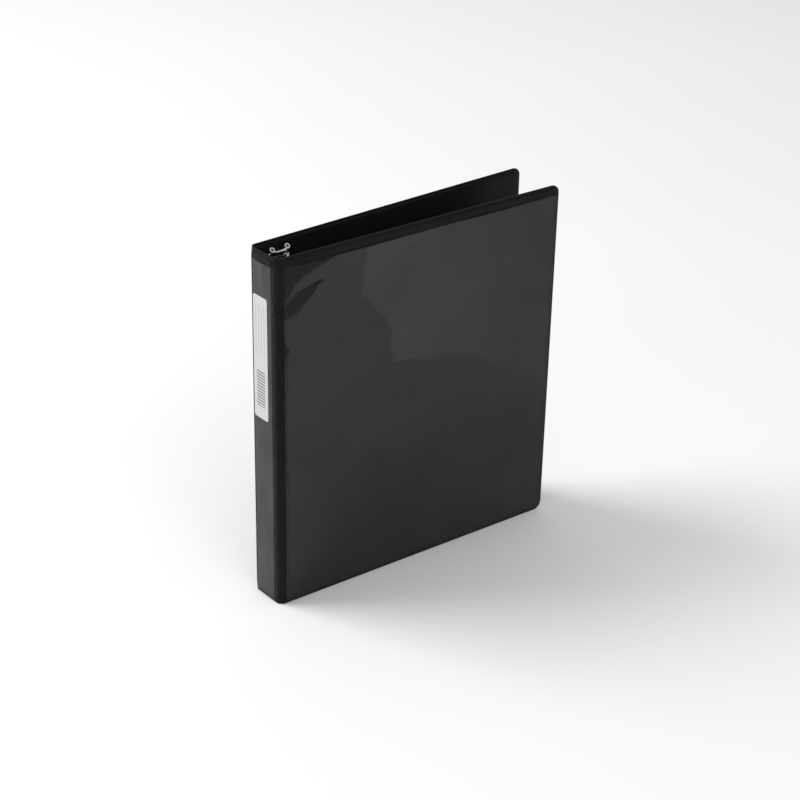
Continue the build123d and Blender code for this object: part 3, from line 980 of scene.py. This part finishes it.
def film(panel, start, end, wave, most, corner, lifted, clinging):
    """The clear sheet over the outer face of a panel that runs from start to end."""
    low, high = corners_on_panel(f"{panel}_clear_overlay", panel)

    def shape(x, y, edge):
        inset = min(x - start, end - x, y)
        if corner and edge < min(x - low.x, high.x - x, y - low.y):
            inset = edge + low.y
        free = smooth_step((edge - 2 * WELD_GROOVE) / FILM_SETTLES)
        ridge = 0.0
        if panel == "spine":
            free *= held_by_label(x, y)
        else:
            ridge = FOLD_RIDGE * bell(x - low.x - FOLD_RIDGE_PLACE, FOLD_RIDGE)
        mouth = smooth_step(1 - (high.y - y) / FILM_MOUTH)
        waves = FLOAT_WAVES * soft_waves(x, y, wave, FILM_SEED)
        floating = max(FLOAT_LEVEL + waves, 0) * free * (1 + mouth) * most
        groove = GROOVE_DEPTH * bell(edge - WELD_GROOVE, GROOVE_WIDTH)
        bead = BEAD_HEIGHT * bell(edge - BEAD_PLACE, BEAD_WIDTH)
        return FILM_LIFT - panel_drop(max(inset, 0)) - groove + bead * (1 - free) + floating + ridge

    made = welded_sheet(
        f"{panel}_film", panel, low, high, (0, corner), 0, shape, FILM, FILM_THICKNESS
    )
    store_patches(made, panel, low, high, lifted, clinging)
    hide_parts(f"{panel}_clear_overlay")
    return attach(made, BODY[panel])


film("front", cover_start, cover_end, FRONT_WAVE, COVER_FLOAT, FILM_CORNER, [LIFTED], CLINGING)
film("back", cover_start, cover_end, BACK_WAVE, COVER_FLOAT, FILM_CORNER, [BACK_LIFTED], [])
film("spine", -spine_half, spine_half, SPINE_WAVE, SPINE_FLOAT, 0, [ALL_LIFTED], [])

# %% [markdown]
# **The inside pockets.** Each cover has a black pocket inside, for loose sheets. Its mouth slopes down
# towards the fore edge and is hemmed, and it gapes a little in the middle, as a used pocket does. It
# is the same welded sheet on the panel's other face, so its heights are negative.

# %% Inside pockets
POCKET_THICKNESS = 0.3 * MM
POCKET_CORNER = 10 * MM
POCKET_GAP = 0.03 * MM  # between a pocket and the vinyl, where it is welded
POCKET_GAPE = 1.3 * MM
POCKET_SETTLES = 45 * MM  # from a weld to where the pocket is free
POCKET_MOUTH = 70 * MM  # below the mouth, the length that gapes
HEM = 5 * MM
HEM_RISE = 0.16 * MM
HEM_SLOPE = 0.8 * MM
POCKET_WAVE = 60 * MM
POCKET_OPEN = 0.12  # the share of the gape that a pocket has all over
MOUTH_OPEN = 0.88  # and what the mouth adds to it
POCKET_WAVES = 0.25  # and what the soft waves are multiplied by
POCKET_GROOVE_DEPTH = 0.10 * MM
POCKET_GROOVE_WIDTH = 0.6 * MM
WAVE_SEED = {"front": 11.3, "back": 17.9}


def pocket(side):
    """The black pocket on the inner face of a cover."""
    low, high = corners_on_panel(f"{side}_inner_pocket", side)
    points = points_on_panel(f"{side}_inner_pocket", side)
    fore_top = max(p.y for p in points if p.x > high.x - POCKET_THICKNESS)
    fold_top = max(p.y for p in points if p.x < low.x + POCKET_THICKNESS)
    drop = fold_top - fore_top

    def shape(x, y, edge):
        across = (x - low.x) / (high.x - low.x)
        below_mouth = high.y - drop * across - y
        free = smooth_step((edge - 2 * WELD_GROOVE) / POCKET_SETTLES)
        open_share = smooth_step(1 - below_mouth / POCKET_MOUTH)
        waves = POCKET_WAVES * soft_waves(x, y, POCKET_WAVE, WAVE_SEED[side])
        gape = max(POCKET_OPEN + MOUTH_OPEN * open_share + waves, 0) * free * POCKET_GAPE
        groove = POCKET_GROOVE_DEPTH * bell(edge - 2 * WELD_GROOVE, POCKET_GROOVE_WIDTH)
        hem = HEM_RISE * smooth_step((HEM - below_mouth) / HEM_SLOPE)
        return -panel_thickness - POCKET_THICKNESS / 2 - POCKET_GAP - gape - hem + groove

    radii = (POCKET_CORNER, POCKET_CORNER)
    made = welded_sheet(f"{side}_pocket", side, low, high, radii, drop, shape, LINER, POCKET_THICKNESS)
    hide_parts(f"{side}_inner_pocket")
    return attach(made, BODY[side])


for side in ("front", "back"):
    pocket(side)
